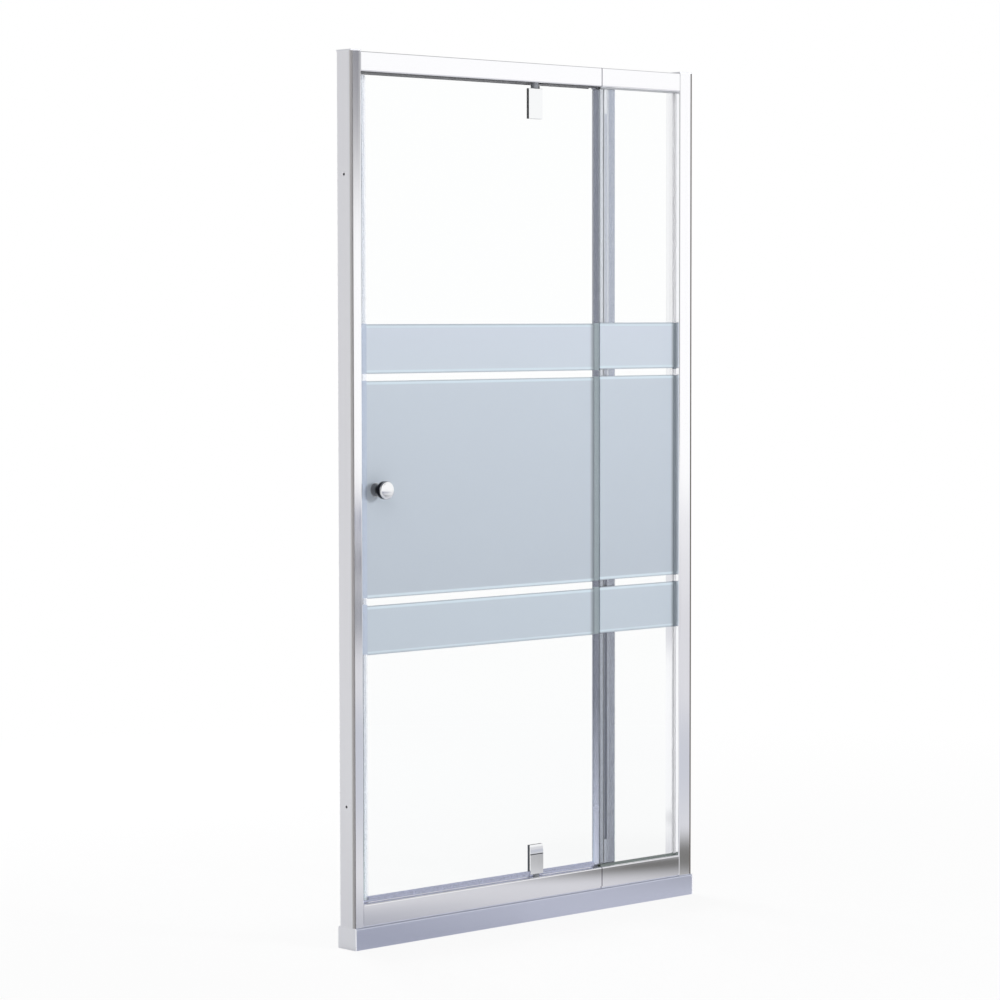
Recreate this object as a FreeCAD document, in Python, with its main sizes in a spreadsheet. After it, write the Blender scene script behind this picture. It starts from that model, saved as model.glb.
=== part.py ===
"""Pivot shower door with an in-line fixed panel, built for an alcove.

Millimetres. X runs along the opening, Y into the shower, Z up.
The origin is the middle of the plinth's underside.
"""
import FreeCAD, Part
import Sketcher
import math
import os
import re

doc = FreeCAD.newDocument("shower_door")

# Driving sizes, in millimetres
SIZES = {
    # whole frame
    "frame_width": 1000,
    "frame_height": 1847,
    "frame_depth": 45,
    "panel_run": 243,
    # plinth under the sill
    "plinth_height": 46,
    "plinth_lip": 5,
    "plinth_wall": 2.5,
    "plinth_radius": 4,
    "plinth_cap": 3,
    "plug_reach": 15,
    "plug_gap": 0.2,
    # header and sill extrusions
    "sill_height": 46.5,
    "sill_foot": 4.5,
    "sill_recess": 3,
    "header_height": 41,
    "header_lip": 2.5,
    "header_drop": 3,
    "rail_wall": 2,
    "rail_corner": 10,
    "rail_radius": 3,
    "port_inset": 2.8,
    "port_bore": 4.1,
    "splice_length": 90,
    "splice_gap": 0.3,
    # jambs and the wall channels that they slide over
    "jamb_reveal": 6,
    "lock_jamb_face": 22,
    "panel_jamb_face": 34,
    "jamb_wall": 1.6,
    "jamb_radius": 3,
    "jamb_cap": 3,
    "channel_reach": 20,
    "channel_wall": 1.6,
    "slide_gap": 0.3,
    "wall_bore": 6,
    "wall_bore_end": 250.5,
    # screws
    "screw_shank": 4,
    "screw_head": 6,
    "screw_head_thick": 2.2,
    "screw_grip": 24,
    "lock_screw_inset": 12,
    "lock_screw_end": 150,
    "lock_screw_grip": 6,
    # panes and glazing
    "glass_thick": 6,
    "glass_setback": 14.5,
    "glazing_depth": 9,
    "gasket_wall": 2,
    "gasket_proud": 3,
    "panel_setback": 8,
    # post behind the free edge of the fixed pane
    "post_setback": 11,
    "post_width": 47,
    "post_wall": 1.8,
    "post_slot": 9.5,
    "post_slot_inset": 14,
    "post_slot_depth": 7,
    "post_gasket": 2,
    "bracket_foot": 3,
    "bracket_tongue": 54,
    "bracket_gap": 0.2,
    # frosted bands
    "band_base": 607.5,
    "band_outer": 102,
    "band_clear": 15,
    "band_middle": 449,
    "band_film": 0.3,
    "band_gap": 0.5,
    "panel_band_rise": 2,
    # door pane
    "door_setback": 1,
    "door_base_gap": 5.5,
    "door_top_gap": 6,
    "notch_gap": 0.2,
    # door seals
    "strip_thick": 5,
    "strip_width": 12,
    "seal_gap": 0.5,
    "seal_body": 7.5,
    "seal_cheek": 1.2,
    "seal_grip": 10,
    "fin_body": 3,
    "fin_reach": 5,
    "fin_thick": 1.6,
    "drip_grip": 7,
    "drip_floor": 2,
    "drip_fin": 2,
    "sweep_gap": 0.6,
    "seal_break": 0.5,
    # pivots
    "pivot_offset": 187,
    "block_width": 38,
    "block_height": 65,
    "block_cheek": 2.5,
    "block_pad": 0.5,
    "block_chamfer": 1,
    "block_seam": 20,
    "seam_width": 1.2,
    "seam_depth": 0.6,
    "web_width": 26,
    "web_height": 40,
    "web_radius": 4,
    "pin_thick": 6,
    "pin_depth": 18,
    "pin_reach": 11,
    "pin_fit": 0.05,
    "bush_body": 14,
    "bush_reach": 12,
    "bush_flange": 18,
    "bush_low": 4.7,
    "bush_high": 11.5,
    "turn_gap": 0.3,
    "clamp_spread": 16,
    "clamp_height": 29,
    "clamp_grip": 8,
    # knob
    "knob_inset": 35,
    "knob_reach": 37,
    "knob_head": 38,
    "knob_head_thick": 13,
    "knob_flare": 3,
    "knob_rim": 2,
    "knob_neck": 24,
    "stud_thick": 8,
    "stud_depth": 18,
    "stud_fit": 0.1,
    "stud_end_gap": 0.5,
    "washer_thick": 1,
    "washer_width": 28,
    "pane_bore": 11,
    # how far a cut runs past what it cuts
    "overrun": 5,
}

sheet = doc.addObject("Spreadsheet::Sheet", "Sizes")
for row, (name, value) in enumerate(SIZES.items(), 1):
    sheet.set(f"A{row}", name)
    sheet.set(f"B{row}", str(value))
    sheet.setAlias(f"B{row}", name)
doc.recompute()

# Places worked out from the sizes, as text that the sketches and placements are bound to
left_wall = "(-frame_width / 2)"
right_wall = "(frame_width / 2)"
lock_face = "(-frame_width / 2 + jamb_reveal + lock_jamb_face)"
panel_face = "(frame_width / 2 - jamb_reveal - panel_jamb_face)"
rail_joint = f"({panel_face} - panel_run)"
pivot_line = f"({rail_joint} - pivot_offset)"
frame_front = "(-frame_depth / 2)"
frame_back = "(frame_depth / 2)"
glass_front = "(-frame_depth / 2 + glass_setback)"
glass_back = f"({glass_front} + glass_thick)"
glass_middle = f"({glass_front} + glass_thick / 2)"
groove_front = f"({glass_front} - gasket_wall)"
groove_back = f"({glass_back} + gasket_wall)"
sill_top = "(plinth_height + sill_height)"
header_base = "(frame_height - header_height)"
door_left = f"({lock_face} + strip_thick + seal_gap + seal_body)"
door_right = f"({rail_joint} - door_setback)"
door_base = f"({sill_top} + door_base_gap)"
door_top = f"({header_base} - door_top_gap)"
panel_left = f"({rail_joint} + panel_setback)"
post_left = f"({rail_joint} + post_setback)"
post_front = f"({glass_back} + post_gasket)"
post_depth = f"(frame_depth / 2 - {post_front})"
block_base = f"({sill_top} + bush_low + turn_gap)"
block_top = f"({header_base} - bush_high - turn_gap)"
knob_line = f"({door_left} + knob_inset)"
knob_level = "(band_base + band_outer + band_clear + band_middle / 2)"

# Start of every new sketch point, before its own sizes move it
START_RADIUS = 100


def bound(text):
    """The expression with each size read from the sheet."""
    return re.sub(r"[a-z_]+", lambda word: ("Sizes." if word[0] in SIZES else "") + word[0], text)


def new_body(label, x="0", y="0", z="0", turn=None):
    """An empty body at a bound place, turned half round an axis where one is given."""
    body = doc.addObject("PartDesign::Body", label)
    body.Label = label
    body.AllowCompound = True
    if turn:
        body.Placement = FreeCAD.Placement(FreeCAD.Vector(), FreeCAD.Rotation(FreeCAD.Vector(*turn), 180))
    for axis, place in zip("xyz", (x, y, z)):
        body.setExpression(f"Placement.Base.{axis}", bound(place))
    return body


def new_sketch(body, role, offset="0"):
    """A sketch on one of the body's origin planes, moved along the plane's normal by the offset."""
    planes = [feature for feature in body.Origin.OriginFeatures if feature.Role == role]
    sketch = body.newObject("Sketcher::SketchObject", f"{body.Name}_sketch")
    sketch.AttachmentSupport = (planes[0], [""])
    sketch.MapMode = "FlatFace"
    sketch.setExpression("AttachmentOffset.Base.z", bound(offset))
    return sketch


def tie(sketch, kind, *target_and_text):
    """One sketch dimension whose value follows the sheet."""
    *target, start, text = target_and_text
    index = sketch.addConstraint(Sketcher.Constraint(kind, *target, start))
    sketch.setExpression(f"Constraints[{index}]", bound(text))


def outline(sketch, corners):
    """A closed run of straight lines through corners that are pairs of bound sizes."""
    count = len(corners)
    first = sketch.GeometryCount
    starts = []
    for index in range(count):
        angle = math.tau * index / count
        starts.append(FreeCAD.Vector(START_RADIUS * math.cos(angle), START_RADIUS * math.sin(angle), 0))
    for index in range(count):
        sketch.addGeometry(Part.LineSegment(starts[index], starts[(index + 1) % count]), False)
    for index in range(count):
        following = first + (index + 1) % count
        sketch.addConstraint(Sketcher.Constraint("Coincident", first + index, 2, following, 1))
    for index, (across, up) in enumerate(corners):
        tie(sketch, "DistanceX", -1, 1, first + index, 1, starts[index].x, across)
        tie(sketch, "DistanceY", -1, 1, first + index, 1, starts[index].y, up)


def rectangle(sketch, low_across, low_up, high_across, high_up):
    """A rectangle between two bound corners."""
    outline(sketch, [
        (low_across, low_up), (high_across, low_up), (high_across, high_up), (low_across, high_up),
    ])


def circle(sketch, across, up, diameter):
    """A circle at a bound place."""
    centre = FreeCAD.Vector(START_RADIUS, START_RADIUS, 0)
    index = sketch.addGeometry(Part.Circle(centre, FreeCAD.Vector(0, 0, 1), START_RADIUS), False)
    tie(sketch, "DistanceX", -1, 1, index, 3, centre.x, across)
    tie(sketch, "DistanceY", -1, 1, index, 3, centre.y, up)
    tie(sketch, "Diameter", index, START_RADIUS * 2, diameter)


def hexagon(sketch, across, up, width):
    """A hexagon at a bound place, with a flat on each side and a corner at the top."""
    reach = f"({width} / sqrt(3))"
    outline(sketch, [
        (f"{across} + {width} / 2", f"{up} - {reach} / 2"), (f"{across} + {width} / 2", f"{up} + {reach} / 2"),
        (across, f"{up} + {reach}"), (f"{across} - {width} / 2", f"{up} + {reach} / 2"),
        (f"{across} - {width} / 2", f"{up} - {reach} / 2"), (across, f"{up} - {reach}"),
    ])


def pad(body, sketch, length, against=False):
    """Material along the sketch's normal, or against it."""
    feature = body.newObject("PartDesign::Pad", f"{body.Name}_pad")
    feature.Profile = sketch
    feature.Reversed = against
    feature.setExpression("Length", bound(length))
    return feature


def pocket(body, sketch, depth, along=False):
    """A cut against the sketch's normal, or along it, that has to take material away."""
    doc.recompute()
    before = body.Shape.Volume
    feature = body.newObject("PartDesign::Pocket", f"{body.Name}_pocket")
    feature.Profile = sketch
    feature.Reversed = along
    feature.setExpression("Length", bound(depth))
    doc.recompute()
    if not body.Shape.Volume < before:
        raise RuntimeError(f"{body.Label}: a pocket cut nothing")
    return feature


def revolve(body, sketch, axis):
    """A full turn of the sketch about one of its own axes."""
    feature = body.newObject("PartDesign::Revolution", f"{body.Name}_revolution")
    feature.Profile = sketch
    feature.ReferenceAxis = (sketch, [axis])
    feature.Angle = 360
    return feature


def chosen_edges(base, chosen):
    """Names of the feature's edges that the chosen test accepts."""
    doc.recompute()
    whole = base.Shape.BoundBox
    return [f"Edge{number}" for number, edge in enumerate(base.Shape.Edges, 1) if chosen(edge.BoundBox, whole)]


def fillet(body, base, radius, chosen):
    """Rounded edges on the base feature."""
    feature = body.newObject("PartDesign::Fillet", f"{body.Name}_fillet")
    feature.Base = (base, chosen_edges(base, chosen))
    feature.setExpression("Radius", bound(radius))


def chamfer(body, base, size, chosen):
    """Sloped edges on the base feature."""
    feature = body.newObject("PartDesign::Chamfer", f"{body.Name}_chamfer")
    feature.Base = (base, chosen_edges(base, chosen))
    feature.setExpression("Size", bound(size))


def near(first, second):
    """Two places that are the same but for rounding."""
    return math.isclose(first, second, abs_tol=1e-4)


# Plinth: a two-chamber extrusion with rounded upper edges, closed by a plugged cap at each end
plinth_front = "(-frame_depth / 2 - plinth_lip)"
plinth_back = "(frame_depth / 2 + plinth_lip)"
plinth_chambers = [
    (f"({plinth_front} + plinth_wall)", "(-plinth_wall / 2)"),
    ("(plinth_wall / 2)", f"({plinth_back} - plinth_wall)"),
]


def upper_long_edges(edge, whole):
    """Edges along X at the top of the front and back faces."""
    long_enough = near(edge.XLength, whole.XLength)
    outermost = near(edge.YMax, whole.YMin) or near(edge.YMin, whole.YMax)
    return long_enough and outermost and near(edge.ZMin, whole.ZMax)


def make_plinth():
    body = new_body("plinth", x=f"{left_wall} + plinth_cap")
    section = new_sketch(body, "YZ_Plane")
    rectangle(section, plinth_front, "0", plinth_back, "plinth_height")
    for front, back in plinth_chambers:
        rectangle(section, front, "plinth_wall", back, "plinth_height - plinth_wall")
    run = pad(body, section, "frame_width - plinth_cap * 2")
    fillet(body, run, "min(plinth_radius; plinth_wall * 2)", upper_long_edges)


def make_plinth_cap(label, wall_side, turn):
    body = new_body(label, x=wall_side, turn=turn)
    face = new_sketch(body, "YZ_Plane")
    rectangle(face, plinth_front, "0", plinth_back, "plinth_height")
    plate = pad(body, face, "plinth_cap")
    fillet(body, plate, "min(plinth_radius; plinth_wall * 2)", upper_long_edges)
    doc.recompute()
    plugs = new_sketch(body, "YZ_Plane", "plinth_cap")
    for front, back in plinth_chambers:
        rectangle(
            plugs, f"{front} + plug_gap", "plinth_wall + plug_gap",
            f"{back} - plug_gap", "plinth_height - plinth_wall - plug_gap",
        )
    pad(body, plugs, "plug_reach")


# Header and sill: hollow extrusions in two lengths, with a screw port in one thick corner of each hollow
def hollow(section, low, high, trim="0"):
    """The eight-sided hollow of a rail between two levels, or the splice that fills it when trimmed."""
    front = f"({frame_front} + rail_wall + {trim})"
    back = f"({frame_back} - rail_wall - {trim})"
    base = f"({low} + {trim})"
    top = f"({high} - {trim})"
    outline(section, [
        (f"{front} + rail_corner", base), (f"{back} - rail_corner", base),
        (back, f"{base} + rail_corner"), (back, f"{top} - rail_corner"),
        (f"{back} - rail_corner", top), (f"{front} + rail_corner", top),
        (front, f"{top} - rail_corner"), (front, f"{base} + rail_corner"),
    ])


def port(cavity):
    """Centre of a rail's screw port, at the upper front of its hollow."""
    low, high = cavity
    return f"{frame_front} + rail_wall + port_inset", f"{high} - port_inset"


header_door_hollow = (f"({header_base} + rail_wall)", "(frame_height - rail_wall)")
header_panel_hollow = (f"({header_base} + glazing_depth + rail_wall)", "(frame_height - rail_wall)")
sill_door_hollow = ("(plinth_height + rail_wall)", f"({sill_top} - rail_wall)")
sill_panel_hollow = ("(plinth_height + rail_wall)", f"({sill_top} - glazing_depth - rail_wall)")

door_ports = [port(header_door_hollow), port(sill_door_hollow)]
panel_ports = [port(header_panel_hollow), port(sill_panel_hollow)]

header_door_outline = [
    (frame_front, header_base), (f"{frame_back} - header_lip", header_base),
    (f"{frame_back} - header_lip", f"{header_base} - header_drop"),
    (frame_back, f"{header_base} - header_drop"), (frame_back, "frame_height"), (frame_front, "frame_height"),
]
header_panel_outline = [
    (frame_front, header_base), (groove_front, header_base),
    (groove_front, f"{header_base} + glazing_depth"), (groove_back, f"{header_base} + glazing_depth"),
    (groove_back, header_base), (frame_back, header_base),
    (frame_back, "frame_height"), (frame_front, "frame_height"),
]
sill_foot_outline = [
    (frame_front, "plinth_height + sill_foot"), (f"{frame_front} + sill_recess", "plinth_height + sill_foot"),
    (f"{frame_front} + sill_recess", "plinth_height"), (frame_back, "plinth_height"),
]
sill_door_outline = sill_foot_outline + [(frame_back, sill_top), (frame_front, sill_top)]
sill_panel_outline = sill_foot_outline + [
    (frame_back, sill_top), (groove_back, sill_top),
    (groove_back, f"{sill_top} - glazing_depth"), (groove_front, f"{sill_top} - glazing_depth"),
    (groove_front, sill_top), (frame_front, sill_top),
]


def front_long_edges(edge, whole):
    """Edges along X on the front face."""
    return near(edge.XLength, whole.XLength) and near(edge.YMax, whole.YMin)


def upper_front_edge(edge, whole):
    """The edge along X at the top of the front face."""
    return front_long_edges(edge, whole) and near(edge.ZMin, whole.ZMax)


def make_rail(label, start, length, corners, cavity, rounded):
    body = new_body(label, x=start)
    section = new_sketch(body, "YZ_Plane")
    outline(section, corners)
    hollow(section, *cavity)
    circle(section, *port(cavity), "port_bore")
    run = pad(body, section, length)
    fillet(body, run, "rail_radius", rounded)
    return body


def bore_for_bush(body, level, upwards):
    """The hole for a pivot bush in a door-side rail, from its outer face into the hollow."""
    doc.recompute()
    plan = new_sketch(body, "XY_Plane", level)
    circle(plan, f"{pivot_line} - {lock_face}", glass_middle, "bush_body + pin_fit * 2")
    pocket(body, plan, "rail_wall + overrun", along=upwards)


def make_splice(label, cavity):
    body = new_body(label, x=f"{rail_joint} - splice_length / 2")
    section = new_sketch(body, "YZ_Plane")
    hollow(section, *cavity, trim="splice_gap")
    pad(body, section, "splice_length")


# Jambs and wall channels
jamb_length = "(frame_height - plinth_height)"
channel_half = "(frame_depth / 2 - jamb_wall - slide_gap)"
lock_screw_levels = ["lock_screw_end", f"({jamb_length} - lock_screw_end)"]
wall_bore_levels = ["wall_bore_end", f"({jamb_length} - wall_bore_end)"]


def inner_front_edge(edge, whole):
    """The upright edge at the front of a jamb, on the side of the opening."""
    return near(edge.ZLength, whole.ZLength) and near(edge.YMax, whole.YMin) and near(edge.XMin, whole.XMax)


def panel_front_edge(edge, whole):
    """The same edge of the jamb beside the fixed pane."""
    return near(edge.ZLength, whole.ZLength) and near(edge.YMax, whole.YMin) and near(edge.XMax, whole.XMin)


def raised(places):
    """The same places in a body that stands on the plinth."""
    return [(across, f"{up} - plinth_height") for across, up in places]


def bore_along_x(body, places, across_from, depth, diameter):
    """Round holes along +X from a plane across the body."""
    face = new_sketch(body, "YZ_Plane", across_from)
    for across, up in places:
        circle(face, across, up, diameter)
    pocket(body, face, depth, along=True)


def bore_back_wall(body, across, levels):
    """Round holes through a back wall, for the screws that lock jamb and channel together."""
    face = new_sketch(body, "XZ_Plane")
    for level in levels:
        circle(face, across, level, "screw_shank + pin_fit * 2")
    pocket(body, face, "frame_depth / 2 + overrun")


def make_lock_jamb():
    body = new_body("jamb_left", x=f"{left_wall} + jamb_reveal", z="plinth_height")
    section = new_sketch(body, "XY_Plane")
    outline(section, [
        ("0", frame_front), ("lock_jamb_face", frame_front), ("lock_jamb_face", frame_back), ("0", frame_back),
        ("0", f"{frame_back} - jamb_wall"), ("lock_jamb_face - jamb_wall", f"{frame_back} - jamb_wall"),
        ("lock_jamb_face - jamb_wall", f"{frame_front} + jamb_wall"), ("0", f"{frame_front} + jamb_wall"),
    ])
    run = pad(body, section, jamb_length)
    fillet(body, run, "min(jamb_radius; jamb_wall * 2)", inner_front_edge)
    bore_along_x(body, raised(door_ports), "0", "lock_jamb_face + overrun", "port_bore")
    bore_back_wall(body, "lock_screw_inset - jamb_reveal", lock_screw_levels)


def make_panel_jamb():
    body = new_body("jamb_right", x=panel_face, z="plinth_height")
    section = new_sketch(body, "XY_Plane")
    web = "(glazing_depth + jamb_wall)"
    outline(section, [
        ("0", frame_front), ("panel_jamb_face", frame_front), ("panel_jamb_face", f"{frame_front} + jamb_wall"),
        (web, f"{frame_front} + jamb_wall"), (web, f"{frame_back} - jamb_wall"),
        ("panel_jamb_face", f"{frame_back} - jamb_wall"), ("panel_jamb_face", frame_back), ("0", frame_back),
        ("0", groove_back), ("glazing_depth", groove_back),
        ("glazing_depth", groove_front), ("0", groove_front),
    ])
    skin = "(jamb_wall * 2)"
    rectangle(section, skin, f"{frame_front} + {skin}", "glazing_depth", f"{groove_front} - jamb_wall")
    rectangle(section, skin, f"{groove_back} + jamb_wall", "glazing_depth", f"{frame_back} - {skin}")
    run = pad(body, section, jamb_length)
    fillet(body, run, "min(jamb_radius; jamb_wall * 2)", panel_front_edge)
    bore_along_x(body, raised(panel_ports), "-overrun", f"{web} + overrun * 2", "port_bore")
    bore_back_wall(body, "panel_jamb_face + jamb_reveal - lock_screw_inset", lock_screw_levels)


def make_wall_channel(label, wall_side, turn):
    body = new_body(label, x=wall_side, z="plinth_height", turn=turn)
    section = new_sketch(body, "XY_Plane")
    outline(section, [
        ("0", f"-{channel_half}"), ("channel_reach", f"-{channel_half}"),
        ("channel_reach", f"channel_wall - {channel_half}"), ("channel_wall", f"channel_wall - {channel_half}"),
        ("channel_wall", f"{channel_half} - channel_wall"), ("channel_reach", f"{channel_half} - channel_wall"),
        ("channel_reach", channel_half), ("0", channel_half),
    ])
    pad(body, section, jamb_length)
    places = [("0", level) for level in wall_bore_levels]
    bore_along_x(body, places, "-overrun", "channel_wall + overrun * 2", "wall_bore")
    # The locking screws come from the back on both sides, so on the turned channel they meet the local front.
    face = new_sketch(body, "XZ_Plane")
    for level in lock_screw_levels:
        circle(face, "lock_screw_inset", level, "screw_shank + pin_fit * 2")
    pocket(body, face, "frame_depth / 2", along=bool(turn))


def make_jamb_cap(label, wall_side, face, turn):
    """A flat cap over jamb and channel, with a plug in the channel."""
    body = new_body(label, x=wall_side, z="frame_height", turn=turn)
    plan = new_sketch(body, "XY_Plane")
    rectangle(plan, "0", frame_front, f"jamb_reveal + {face}", frame_back)
    pad(body, plan, "jamb_cap")
    doc.recompute()
    plug = new_sketch(body, "XY_Plane")
    rectangle(
        plug, "channel_wall + plug_gap", f"channel_wall + plug_gap - {channel_half}",
        "channel_reach", f"{channel_half} - channel_wall - plug_gap",
    )
    pad(body, plug, "plug_reach", against=True)


def make_frame_screws(label, start, places, against):
    """Screws that hold the ends of header and sill to a jamb, their heads inside the jamb."""
    body = new_body(label, x=start)
    heads = new_sketch(body, "YZ_Plane")
    for across, up in places:
        hexagon(heads, across, up, "screw_head")
    pad(body, heads, "screw_head_thick", against=not against)
    doc.recompute()
    shanks = new_sketch(body, "YZ_Plane")
    for across, up in places:
        circle(shanks, across, up, "screw_shank")
    pad(body, shanks, "screw_grip", against=against)


def make_lock_screws():
    """Screws that lock both jambs on their wall channels, put in from the shower side."""
    body = new_body("jamb_lock_screws", y=frame_back, z="plinth_height")
    places = [f"{left_wall} + lock_screw_inset", f"{right_wall} - lock_screw_inset"]
    heads = new_sketch(body, "XZ_Plane")
    for across in places:
        for level in lock_screw_levels:
            hexagon(heads, across, level, "screw_head")
    pad(body, heads, "screw_head_thick", against=True)
    doc.recompute()
    shanks = new_sketch(body, "XZ_Plane")
    for across in places:
        for level in lock_screw_levels:
            circle(shanks, across, level, "screw_shank")
    pad(body, shanks, "lock_screw_grip")


# Post behind the free edge of the fixed pane
slot_left = "post_slot_inset"
slot_right = "(post_slot_inset + post_slot)"
post_base = f"({sill_top} + bracket_foot)"
post_length = f"({header_base} - {sill_top} - bracket_foot * 2)"


def make_post():
    body = new_body("post", x=post_left, y=post_front, z=post_base)
    section = new_sketch(body, "XY_Plane")
    outline(section, [
        ("0", "0"), (slot_left, "0"), (slot_left, "post_slot_depth"), (slot_right, "post_slot_depth"),
        (slot_right, "0"), ("post_width", "0"), ("post_width", post_depth), ("0", post_depth),
    ])
    inner = f"({post_depth} - post_wall)"
    rectangle(section, "post_wall", "post_wall", f"{slot_left} - post_wall", inner)
    rectangle(section, f"{slot_right} + post_wall", "post_wall", "post_width - post_wall", inner)
    rectangle(section, slot_left, "post_slot_depth + post_wall", slot_right, inner)
    pad(body, section, post_length)


def make_post_bracket(label, level, downwards):
    """A foot plate under the post's end and a tongue in its slot."""
    body = new_body(label, x=post_left, y=post_front, z=level)
    foot = new_sketch(body, "XY_Plane")
    rectangle(foot, "0", "0", "post_width", post_depth)
    pad(body, foot, "bracket_foot", against=downwards)
    doc.recompute()
    tongue = new_sketch(body, "XY_Plane")
    rectangle(
        tongue, f"{slot_left} + bracket_gap", "0",
        f"{slot_right} - bracket_gap", "post_slot_depth - bracket_gap",
    )
    pad(body, tongue, "bracket_foot + bracket_tongue", against=downwards)


def make_post_gasket():
    """Two soft strips between the fixed pane and the post, one each side of the slot."""
    body = new_body("panel_post_gasket", x=post_left, y=glass_back, z=post_base)
    section = new_sketch(body, "XY_Plane")
    rectangle(section, "0", "0", slot_left, "post_gasket")
    rectangle(section, slot_right, "0", "post_width", "post_gasket")
    pad(body, section, post_length)


# Fixed pane and its gaskets
panel_glass_right = f"({panel_face} + glazing_depth - gasket_wall)"
panel_glass_base = f"({sill_top} - glazing_depth + gasket_wall)"
panel_glass_top = f"({header_base} + glazing_depth - gasket_wall)"
gasket_lip = "(glazing_depth + gasket_proud)"


def make_panel_glass():
    body = new_body("panel_glass", y=glass_front)
    face = new_sketch(body, "XZ_Plane")
    rectangle(face, panel_left, panel_glass_base, panel_glass_right, panel_glass_top)
    pad(body, face, "glass_thick", against=True)


def channel_corners(upside_down=False):
    """A channel round the pane's edge: floor at zero, or hanging from zero."""
    sign = "-" if upside_down else ""
    lip = f"{sign}{gasket_lip}"
    floor = f"{sign}gasket_wall"
    return [
        (groove_front, "0"), (groove_back, "0"), (groove_back, lip), (glass_back, lip),
        (glass_back, floor), (glass_front, floor), (glass_front, lip), (groove_front, lip),
    ]


def make_rail_gasket(label, level, upside_down):
    body = new_body(label, x=panel_left, z=level)
    section = new_sketch(body, "YZ_Plane")
    outline(section, channel_corners(upside_down))
    pad(body, section, f"{panel_face} - {panel_left}")


def make_jamb_gasket():
    body = new_body("panel_gasket_jamb", x=f"{panel_face} + glazing_depth", z=f"{sill_top} + gasket_proud")
    section = new_sketch(body, "XY_Plane")
    outline(section, [(up, across) for across, up in channel_corners(upside_down=True)])
    pad(body, section, f"{header_base} - {sill_top} - gasket_proud * 2")


# Frosted bands: a broad one between two narrow ones, with clear lines between them
def make_bands(label, left, right, rise, knob_cut):
    body = new_body(label, y=glass_front)
    face = new_sketch(body, "XZ_Plane")
    level = f"(band_base + {rise})"
    for height in ("band_outer", "band_middle", "band_outer"):
        rectangle(face, left, level, right, f"{level} + {height}")
        level = f"({level} + {height} + band_clear)"
    if knob_cut:
        circle(face, knob_line, knob_level, "washer_width + band_gap * 2")
    pad(body, face, "band_film")


# Door pane, notched for the pivot blocks and drilled for the knob
notch_left = f"({pivot_line} - web_width / 2 - notch_gap)"
notch_right = f"({pivot_line} + web_width / 2 + notch_gap)"
notch_low = f"({block_base} + web_height + notch_gap)"
notch_high = f"({block_top} - web_height - notch_gap)"


def make_door_glass():
    body = new_body("door_glass", y=glass_front)
    face = new_sketch(body, "XZ_Plane")
    outline(face, [
        (door_left, door_base), (notch_left, door_base), (notch_left, notch_low), (notch_right, notch_low),
        (notch_right, door_base), (door_right, door_base), (door_right, door_top), (notch_right, door_top),
        (notch_right, notch_high), (notch_left, notch_high), (notch_left, door_top), (door_left, door_top),
    ])
    circle(face, knob_line, knob_level, "pane_bore")
    pane = pad(body, face, "glass_thick", against=True)

    def notch_corner(edge, whole):
        across = edge.YLength > 0 and near(edge.XLength, 0) and near(edge.ZLength, 0)
        return across and whole.ZMin < edge.ZMin < whole.ZMax

    fillet(body, pane, "web_radius", notch_corner)


# Seals on the door
seal_height = f"({door_top} - {door_base})"
seal_width = "(glass_thick + seal_cheek * 2)"
seal_front = f"({glass_front} - seal_cheek)"


def make_magnet_strip():
    body = new_body("jamb_magnet_strip", x=lock_face, y=f"{glass_middle} - strip_width / 2", z=sill_top)
    section = new_sketch(body, "XY_Plane")
    rectangle(section, "0", "0", "strip_thick", "strip_width")
    pad(body, section, f"{header_base} - {sill_top}")


def make_magnet_seal():
    """A channel on the lock edge of the pane, with a thick back that holds the magnet."""
    body = new_body("door_magnet_seal", x=f"{door_left} - seal_body", y=seal_front, z=door_base)
    section = new_sketch(body, "XY_Plane")
    reach = "(seal_body + seal_grip)"
    outline(section, [
        ("0", "0"), (reach, "0"), (reach, "seal_cheek"), ("seal_body", "seal_cheek"),
        ("seal_body", "seal_cheek + glass_thick"), (reach, "seal_cheek + glass_thick"),
        (reach, seal_width), ("0", seal_width),
    ])
    pad(body, section, seal_height)


def make_fin_seal():
    """A channel on the free edge of the pane, with a fin that closes the gap to the fixed pane."""
    body = new_body("door_fin_seal", x=door_right, y=seal_front, z=door_base)
    section = new_sketch(body, "XY_Plane")
    fin_low = f"({seal_width} / 2 - fin_thick / 2)"
    fin_high = f"({seal_width} / 2 + fin_thick / 2)"
    outline(section, [
        ("-seal_grip", "0"), ("fin_body", "0"), ("fin_body", fin_low), ("fin_body + fin_reach", fin_low),
        ("fin_body + fin_reach", fin_high), ("fin_body", fin_high),
        ("fin_body", seal_width), ("-seal_grip", seal_width),
        ("-seal_grip", "seal_cheek + glass_thick"), ("0", "seal_cheek + glass_thick"),
        ("0", "seal_cheek"), ("-seal_grip", "seal_cheek"),
    ])
    pad(body, section, seal_height)


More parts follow.
